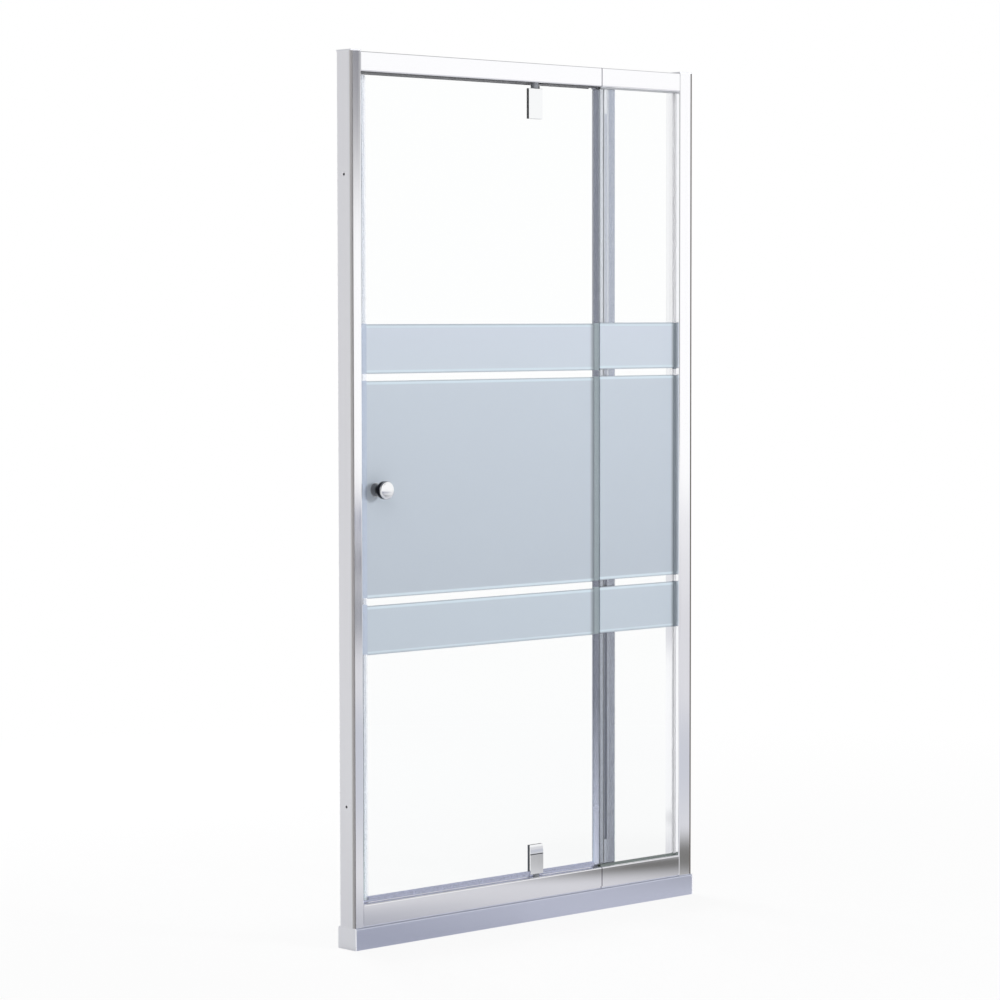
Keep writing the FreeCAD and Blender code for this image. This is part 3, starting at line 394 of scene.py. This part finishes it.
# the painted dark and pale lines along the edges of a band: distance from the edge and tone
first = frosting["edgeLine"]
second = first + frosting["soft"]
third = second + frosting["paleLine"]
fourth = third + frosting["soft"]
edge, pale = frosting["edge"], frosting["pale"]
border = [(0.0, edge), (first, edge), (second, pale), (third, pale)]
stops = []
for (start, end), (footTone, headTone) in zip(bandSpans, frosting["bodies"]):
    stops += [(start + distance, tone) for distance, tone in border + [(fourth, footTone)]]
    stops += [(end - distance, tone) for distance, tone in [(fourth, headTone)] + border[::-1]]

for nodeName in ("door_frosted_bands", "panel_frosted_bands"):
    low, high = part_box(nodeName)
    total = high[2] - low[2]
    pane = nodeName.split("_")[0]
    material, tree, shader, place = newMaterial("glass_frosted_" + pane)
    axes = split(tree, place)
    ramp = addNode(tree, "ShaderNodeValToRGB", {"Fac": remap(tree, axes["Z"], (low[2], high[2]))})
    elements = ramp.color_ramp.elements
    elements[0].position, elements[1].position = 0.0, 1.0
    for distance, tone in stops[1:-1]:
        elements.new(distance / total).color = linear(tone)
    elements[0].color = elements[len(elements) - 1].color = linear(edge)
    # painted shade: the free end of each pane is painted darker, for the shade of the upright beside it
    reach, shade = frosting["shades"][pane]
    run = remap(tree, axes["X"], (high[0] - reach, high[0]), (1.0, shade), smooth=True)
    shaded = addNode(tree, "ShaderNodeVectorMath", {0: ramp.outputs["Color"], 3: run}, operation="SCALE")
    grain = noise(tree, place, frosting["grain"], frosting["detail"])
    setInputs(tree, shader, {
        "Base Color": shaded.outputs[0], "Roughness": remap(tree, grain, (0.0, 1.0), frosting["rough"]),
        "Normal": bumped(tree, grain, frosting["strength"], frosting["relief"]),
    })
    dress(material, nodeName)
print("glass dressed")


# New pieces, made where the node they stand in for is, or beside the nodes they trim
def addPiece(name, points, faces, smooth, materialName, body):
    mesh = bpy.data.meshes.new(name)
    mesh.from_pydata(points.tolist(), [], faces)
    mesh.polygons.foreach_set("use_smooth", np.full(len(mesh.polygons), smooth))
    mesh.materials.append(bpy.data.materials[materialName])
    piece = bpy.data.objects.new(name, mesh)
    scene.collection.objects.link(piece)
    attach(piece, body)
    return piece


def ringFaces(rows, count, closed):
    # quads between neighbouring rings of count points, and a face on the first and last ring if closed
    first = np.arange(count)
    after = (first + 1) % count
    base = np.arange(rows - 1)[:, None] * count
    quads = np.stack([base + first, base + after, base + count + after, base + count + first], axis=-1)
    faces = quads.reshape(-1, 4).tolist()
    if closed:
        faces += [first[::-1].tolist(), (first + (rows - 1) * count).tolist()]
    return faces


def shiftQuads(quads, count):
    # the same quads for points that follow count others
    return (np.array(quads) + count).tolist()


def arcPoints(centre, radius, start, end, count=9):
    # points of an arc: centre + radius * (cos t, sin t), t from start to end in degrees
    angles = np.radians(np.linspace(start, end, count))
    return np.stack([centre[0] + radius * np.cos(angles), centre[1] + radius * np.sin(angles)], axis=1)


def rectangle(front, back, base, top):
    return np.array([[front, base], [back, base], [back, top], [front, top]])


def carryAlongX(section, firstX, lastX):
    # a section of Y and Z at one X and again at another
    ends = np.repeat([firstX, lastX], len(section))
    return np.column_stack([ends, np.tile(section, (2, 1))])


# Film of the bands: plates a hair clear of the pane, so that glass and film share no face when the door
# turns. The plate behind the knob has a round hole, and each ray from the hole's middle ends on the plate's
# nearest side: middle + (cos t, sin t) * min(side x / cos t, side z / sin t).
film = {
    "hair": 0.05 * mm, "returnThick": 0.2 * mm, "washerGap": 0.5 * mm, "segments": 64,
    "nodes": {"door_frosted_bands": "door", "panel_frosted_bands": "frame"},
}
washerLow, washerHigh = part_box("knob_washers")
knobMiddle = np.array([washerLow[0] + washerHigh[0], washerLow[2] + washerHigh[2]]) / 2
holeRadius = (washerHigh[0] - washerLow[0]) / 2 + film["washerGap"]
for nodeName, body in film["nodes"].items():
    low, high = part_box(nodeName)
    front, back = low[1], high[1] - film["hair"]
    points, faces = np.empty((0, 3)), []
    for start, end in bandSpans:
        least, most = np.array([low[0], low[2] + start]), np.array([high[0], low[2] + end])
        corners = np.array([least, [most[0], least[1]], most, [least[0], most[1]]])
        if np.all(least < knobMiddle) and np.all(knobMiddle < most):
            offsets = corners - knobMiddle
            steps = (np.arange(film["segments"]) + 0.5) / film["segments"] * 2 * np.pi - np.pi
            angles = np.sort(np.concatenate([steps, np.arctan2(offsets[:, 1], offsets[:, 0])]))
            rays = np.stack([np.cos(angles), np.sin(angles)], axis=1)
            sides = np.where(rays > 0, most - knobMiddle, least - knobMiddle) / rays
            inner = knobMiddle + holeRadius * rays
            outer = knobMiddle + sides.min(axis=1)[:, None] * rays
            rings = [(inner, back), (outer, back), (outer, front), (inner, front)]
            # the ring after the last is the first again
            quads = np.array(ringFaces(len(rings) + 1, len(rays), False)) % (len(rings) * len(rays))
        else:
            rings = [(corners, back), (corners, front)]
            quads = ringFaces(2, 4, True)
        faces += shiftQuads(quads, len(points))
        points = np.concatenate([points] + [np.insert(ring, 1, depth, axis=1) for ring, depth in rings])
    piece = addPiece(nodeName.replace("bands", "film"), points, faces, False,
                     "glass_frosted_" + nodeName.split("_")[0], body)
    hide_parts(nodeName)

# Returns of the fixed pane's bands: the frit runs round the free edge, a thin plate in each band
paneLow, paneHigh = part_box("panel_glass")
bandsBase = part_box("panel_frosted_bands")[0][2]
innerX = paneLow[0] - film["hair"]
points, faces = np.empty((0, 3)), []
for start, end in bandSpans:
    section = rectangle(paneLow[1], paneHigh[1], bandsBase + start, bandsBase + end)
    faces += shiftQuads(ringFaces(2, 4, True), len(points))
    points = np.concatenate([points, carryAlongX(section, innerX - film["returnThick"], innerX)])
piece = addPiece("panel_frosted_return", points, faces, False, "glass_frosted_panel", "frame")
print("films laid")

# Knob: a turned profile (distance from the pane, radius) carried round its own axis
knobShape = {
    "neck": 12 * mm, "flareStart": 16 * mm, "flareEnd": 25 * mm, "flarePoints": 13,
    "rim": 3.2 * mm, "rimEnd": 4, "dome": 0.35 * mm, "domeStart": 1.1, "domeEnd": 0.5 * mm, "domePoints": 12,
    "segments": 96, "nodes": {"knob_outer": -1, "knob_inner": 1},
}
for nodeName, side in knobShape["nodes"].items():
    low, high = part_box(nodeName)
    radius = (high[0] - low[0]) / 2
    length = high[1] - low[1]
    seat = high[1] if side < 0 else low[1]
    # the flare is half a cosine from the neck to the head
    along = np.linspace(0, 1, knobShape["flarePoints"])
    flare = np.stack([
        knobShape["flareStart"] + along * (knobShape["flareEnd"] - knobShape["flareStart"]),
        knobShape["neck"] + (radius - knobShape["neck"]) * (1 - np.cos(np.pi * along)) / 2,
    ], axis=1)
    rim, dome = knobShape["rim"], knobShape["dome"]
    corner = arcPoints((length - dome - rim, radius - rim), rim, 90, knobShape["rimEnd"])
    # the face falls from its middle as dome * (distance from the axis / radius)^2
    inward = np.linspace(radius - rim * knobShape["domeStart"], knobShape["domeEnd"], knobShape["domePoints"])
    face = np.stack([length - dome * (inward / radius) ** 2, inward], axis=1)
    profile = np.concatenate([[[0, knobShape["neck"]]], flare, corner, face])
    angles = np.linspace(0, 2 * np.pi, knobShape["segments"], endpoint=False)
    reach, radii = profile[:, 0, None], profile[:, 1, None]
    points = np.stack([
        (low[0] + high[0]) / 2 + radii * np.cos(angles),
        np.broadcast_to(seat + side * reach, (len(profile), len(angles))),
        (low[2] + high[2]) / 2 - side * radii * np.sin(angles),
    ], axis=-1).reshape(-1, 3)
    piece = addPiece(nodeName + "_turned", points, ringFaces(len(profile), len(angles), True), True,
                     "chrome_plate_knob", "door")
    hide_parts(nodeName)
print("knobs turned")

# Dark strip under the header's door rail, a painted shade standing in for the shade there: a flat section
# with rounded edges, along X either side of the bush
strip = {"thick": 1.6 * mm, "inset": 2.5 * mm, "bushGap": 12 * mm, "edge": 0.7 * mm}
railLow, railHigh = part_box("header_door_rail")
bushLow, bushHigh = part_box("pivot_bushes")
pivotX = (bushLow[0] + bushHigh[0]) / 2
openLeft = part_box("jamb_left")[1][0]
frontY, backY = railLow[1] + strip["inset"], railHigh[1] - strip["inset"]
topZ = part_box("header_panel_rail")[0][2]
edge = strip["edge"]
edgeZ = topZ - strip["thick"] + edge
section = np.concatenate([
    [[frontY, topZ]], arcPoints((frontY + edge, edgeZ), edge, 180, 270),
    arcPoints((backY - edge, edgeZ), edge, 270, 360), [[backY, topZ]],
])
for name, firstX, lastX in (
    ("header_shade_strip_lock", openLeft, pivotX - strip["bushGap"]),
    ("header_shade_strip_free", pivotX + strip["bushGap"], railHigh[0]),
):
    piece = addPiece(name, carryAlongX(section, firstX, lastX), ringFaces(2, len(section), True), False,
                     "shade_strip_dark", "frame")
print("header strip laid")

# Returns that close the drip seal under the lock seal and beside the lower bush: a rounded section along X
sealReturn = {"edge": 1.2 * mm, "bushGap": 0.5 * mm, "blockGap": 0.3 * mm}
dripLow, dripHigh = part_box("door_drip_seals")
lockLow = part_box("door_magnet_seal")[0]
blockLow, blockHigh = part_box("pivot_block_outer_bottom")
underBlock = blockLow[2] - sealReturn["blockGap"]
edge = sealReturn["edge"]
for name, firstX, lastX, headZ in (
    ("drip_seal_return_lock", lockLow[0], dripLow[0], lockLow[2]),
    ("drip_seal_return_left", blockLow[0], bushLow[0] - sealReturn["bushGap"], underBlock),
    ("drip_seal_return_right", bushHigh[0] + sealReturn["bushGap"], blockHigh[0], underBlock),
):
    section = np.concatenate([
        arcPoints((dripLow[1] + edge, dripLow[2] + edge), edge, 180, 270),
        arcPoints((dripHigh[1] - edge, dripLow[2] + edge), edge, 270, 360),
        arcPoints((dripHigh[1] - edge, headZ - edge), edge, 0, 90),
        arcPoints((dripLow[1] + edge, headZ - edge), edge, 90, 180),
    ])
    piece = addPiece(name, carryAlongX(section, firstX, lastX), ringFaces(2, len(section), True), False,
                     "vinyl_seal_lavender", "door")
print("drip seal returns laid")

# Outer pivot covers: a section in Y and Z carried along X, with the web that fills the notch of the pane.
# The lower cover leans back above its seam, y = front + lean * share^leanPower, and so catches the light
# from above.
cover = {
    "cheek": 2.5 * mm, "edge": 0.9 * mm, "lean": 1.5 * mm, "leanStart": 0.08, "leanPoints": 14,
    "leanPower": 1.4, "crownStart": 170, "seam": 20 * mm, "seamHeight": 2.2 * mm, "seamDepth": 1.0 * mm,
    "webWidth": 26 * mm, "webHeight": 40 * mm,
}
edge = cover["edge"]
for nodeName in ("pivot_block_outer_bottom", "pivot_block_outer_top"):
    low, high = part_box(nodeName)
    front, back = low[1], low[1] + cover["cheek"]
    base, top = low[2], high[2]
    foot = arcPoints((front + edge, base + edge), edge, 270, 180)
    if nodeName.endswith("bottom"):
        webBase = base
        seam = top - cover["seam"]
        seamBase, seamBack = seam - cover["seamHeight"], front + cover["seamDepth"]
        groove = [[front, seamBase], [seamBack, seamBase], [seamBack, seam], [front, seam]]
        share = np.linspace(cover["leanStart"], 1, cover["leanPoints"])
        lean = np.stack([
            front + cover["lean"] * share ** cover["leanPower"], seam + share * (cover["seam"] - edge),
        ], axis=1)
        crown = arcPoints((front + cover["lean"] + edge, top - edge), edge, cover["crownStart"], 90)
        face = np.concatenate([groove, lean, crown])
    else:
        webBase = top - cover["webHeight"]
        face = arcPoints((front + edge, top - edge), edge, 180, 90)
    section = np.concatenate([[[back, base]], foot, face, [[back, top]]])[::-1]
    cheek = carryAlongX(section, low[0], high[0])
    middle = (low[0] + high[0]) / 2
    halfWeb = cover["webWidth"] / 2
    web = carryAlongX(rectangle(back, high[1], webBase, webBase + cover["webHeight"]),
                      middle - halfWeb, middle + halfWeb)
    faces = ringFaces(2, len(section), True) + shiftQuads(ringFaces(2, 4, True), len(cheek))
    piece = addPiece(nodeName + "_cover", np.concatenate([cheek, web]), faces, False, "chrome_plate", "door")
    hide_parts(nodeName)

# Dark strip in the seam of the lower cover, set back a quarter of its depth: a painted shade of the seam
low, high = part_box("pivot_block_outer_bottom")
seam = high[2] - cover["seam"]
section = rectangle(low[1] + cover["seamDepth"] / 4, low[1] + cover["seamDepth"],
                    seam - cover["seamHeight"], seam)
piece = addPiece("pivot_cover_seam_shade", carryAlongX(section, low[0], high[0]), ringFaces(2, 4, True), False,
                 "rubber_pad_dark", "door")
print("pivot covers shaped")

# Camera: where the photograph was taken from
cameraPlace = {
    "at": (-4.8948, -5.2188, 1.3015), "yaw": 42.77, "pitch": 3.12, "roll": -0.09,
    "focalPixels": 3326.6, "imagePixels": 1000, "sensor": 36.0,
}
yaw, pitch, roll = (math.radians(cameraPlace[key]) for key in ("yaw", "pitch", "roll"))
forward = Vector((math.sin(yaw) * math.cos(pitch), math.cos(yaw) * math.cos(pitch), -math.sin(pitch)))
level = Vector((math.cos(yaw), -math.sin(yaw), 0.0))
upright = level.cross(forward)
right = level * math.cos(roll) + upright * math.sin(roll)
up = upright * math.cos(roll) - level * math.sin(roll)
cameraData = bpy.data.cameras.new("camera")
cameraData.sensor_width = cameraPlace["sensor"]
cameraData.lens = cameraPlace["focalPixels"] * cameraPlace["sensor"] / cameraPlace["imagePixels"]
camera = bpy.data.objects.new("camera", cameraData)
turn = Matrix((right, up, -forward)).transposed().to_4x4()
camera.matrix_world = Matrix.Translation(cameraPlace["at"]) @ turn
scene.collection.objects.link(camera)
scene.camera = camera

# Studio: white surroundings with a few dimmer zones for the metal to mirror, soft lamps before and behind,
# and a pale floor
studio = {
    "ambient": 0.45,
    "zones": {
        "cameraSide": {"way": (-0.68, -0.73, 0.0), "tone": "#7b7d82", "inner": 16, "outer": 34, "tall": True},
        "overhead": {"way": (0.0, 0.0, 1.0), "tone": "#6a6c71", "inner": 26, "outer": 66},
        "darkRoom": {
            "way": (-0.616, 0.788, 0.0), "tone": "#101216", "inner": 5.5, "outer": 7.6, "tall": True,
        },
        "upperRight": {"way": (0.556, -0.825, 0.1045), "tone": "#85858c", "inner": 1.4, "outer": 4.9},
    },
    "floorSize": 40.0, "floorTone": "#f4f4f5", "floorRough": 0.9, "floorGlow": 0.88, "glowReach": (1.0, 3.5),
    "mirrorTone": "#dcdce0", "mirrorReach": (7.0, 20.0),
    # painted shade on the floor, seen only in reflections: darker patches, and one white, that the metal
    # mirrors
    "patches": {
        "horizon": {"at": (8.1, -12.1, 0.0), "tone": "#8c90a4", "inner": 0.4, "outer": 2.6},
        "distant": {"at": (5.9, -9.0, 0.0), "tone": "#84858e", "inner": 0.4, "outer": 2.0},
        "far": {"at": (3.6, -6.8, 0.0), "tone": "#8f9199", "inner": 0.4, "outer": 2.3},
        "front": {"at": (1.2, -2.4, 0.0), "tone": "#c4c7d1", "inner": 0.6, "outer": 2.1},
        "near": {"at": (0.84, -0.42, 0.0), "tone": "#5f5e5b", "inner": 0.05, "outer": 0.52},
        "left": {"at": (-0.55, -0.2, 0.0), "tone": "#b0b2bc", "inner": 0.1, "outer": 0.8},
        "beyond": {"at": (-1.9, 2.2, 0.0), "tone": "#ffffff", "inner": 2.0, "outer": 2.8},
        "behind": {"at": (-0.57, 0.61, 0.0), "tone": "#3a4454", "inner": 0.2, "outer": 0.34},
    },
    "lampAim": (0.0, 0.0, 0.95),
}
lamps = {
    "key": {"at": (1.4, -5.0, 1.9), "size": 1.1, "power": 130.0},
    "fill": {"at": (-3.2, -2.2, 3.8), "size": 2.8, "power": 40.0},
    "back": {"at": (0.8, 4.6, 2.2), "size": 2.0, "power": 150.0},
}


def reflectedShare(tree, rays):
    # a ray that has come through glass counts as glossy too, so it is taken off
    return calc(tree, "SUBTRACT", rays["Is Glossy Ray"], rays["Is Transmission Ray"], clamp=True)


world = bpy.data.worlds.new("studio")
scene.world = world
world.use_nodes = True
tree = world.node_tree
tree.nodes.clear()
rays = addNode(tree, "ShaderNodeLightPath", {}).outputs
way = addNode(tree, "ShaderNodeTexCoord", {}).outputs["Generated"]
flat = addNode(tree, "ShaderNodeVectorMath", {0: way, 1: (1.0, 1.0, 0.0)}, operation="MULTIPLY")
bearing = addNode(tree, "ShaderNodeVectorMath", {0: flat.outputs[0]}, operation="NORMALIZE")
mirrored = white
for zone in studio["zones"].values():
    # a tall zone takes in every height above its bearing
    source = bearing.outputs[0] if zone.get("tall") else way
    aim = Vector(zone["way"]).normalized()
    facing = addNode(tree, "ShaderNodeVectorMath", {0: source, 1: aim}, operation="DOT_PRODUCT")
    ends = [math.cos(math.radians(zone[key])) for key in ("outer", "inner")]
    share = remap(tree, facing.outputs["Value"], ends, smooth=True)
    mirrored = mixTones(tree, share, mirrored, linear(zone["tone"]))
glossyTone = addNode(tree, "ShaderNodeBackground", {"Color": mirrored, "Strength": 1.0})
plain = addNode(tree, "ShaderNodeBackground", {"Color": white, "Strength": 1.0})
ambient = addNode(tree, "ShaderNodeBackground", {"Color": white, "Strength": studio["ambient"]})
seen = calc(tree, "MAXIMUM", rays["Is Camera Ray"], rays["Is Transmission Ray"])
direct = addNode(tree, "ShaderNodeMixShader", {0: seen, 1: ambient.outputs[0], 2: plain.outputs[0]})
whole = addNode(tree, "ShaderNodeMixShader", {
    0: reflectedShare(tree, rays), 1: direct.outputs[0], 2: glossyTone.outputs[0],
})
addNode(tree, "ShaderNodeOutputWorld", {0: whole.outputs[0]})

for name, lamp in lamps.items():
    data = bpy.data.lights.new(name, "AREA")
    data.size = lamp["size"]
    data.energy = lamp["power"]
    light = bpy.data.objects.new(name, data)
    scene.collection.objects.link(light)
    light.visible_glossy = light.visible_transmission = light.visible_camera = False
    aim = Vector(studio["lampAim"]) - Vector(lamp["at"])
    light.matrix_world = Matrix.Translation(lamp["at"]) @ aim.to_track_quat("-Z", "Y").to_matrix().to_4x4()

half = studio["floorSize"] / 2
floorMesh = bpy.data.meshes.new("floor")
floorCorners = [(-half, -half, 0), (half, -half, 0), (half, half, 0), (-half, half, 0)]
floorMesh.from_pydata(floorCorners, [], [(0, 1, 2, 3)])
floor = bpy.data.objects.new("floor", floorMesh)
scene.collection.objects.link(floor)
floorFinish, tree, shader, place = newMaterial("floor_pale")
setInputs(tree, shader, {
    "Base Color": linear(studio["floorTone"]), "Roughness": studio["floorRough"], "Specular IOR Level": 0.0,
})
rays = addNode(tree, "ShaderNodeLightPath", {}).outputs
seen = calc(tree, "MAXIMUM", rays["Is Camera Ray"], rays["Is Glossy Ray"])
seenThrough = calc(tree, "MAXIMUM", seen, rays["Is Transmission Ray"])
away = addNode(tree, "ShaderNodeVectorMath", {0: place}, operation="LENGTH").outputs["Value"]
glowLevel = remap(tree, away, studio["glowReach"], (studio["floorGlow"], 1.0))
glow = calc(tree, "MULTIPLY", seenThrough, glowLevel)
# painted shade: the floor that glossy rays see is greyer out to mirrorReach and darker in each patch; the
# camera sees it white
mirrored = mixTones(tree, remap(tree, away, studio["mirrorReach"]), linear(studio["mirrorTone"]), white)
for patch in studio["patches"].values():
    apart = addNode(tree, "ShaderNodeVectorMath", {0: place, 1: patch["at"]}, operation="DISTANCE")
    share = remap(tree, apart.outputs["Value"], (patch["inner"], patch["outer"]), smooth=True)
    mirrored = mixTones(tree, share, linear(patch["tone"]), mirrored)
tone = mixTones(tree, reflectedShare(tree, rays), white, mirrored)
glowing = addNode(tree, "ShaderNodeEmission", {"Color": tone, "Strength": 1.0})
mix = addNode(tree, "ShaderNodeMixShader", {0: glow, 1: shader.outputs[0], 2: glowing.outputs[0]})
setInputs(tree, tree.nodes["Material Output"], {"Surface": mix.outputs[0]})
floor.data.materials.append(floorFinish)
print("studio set")
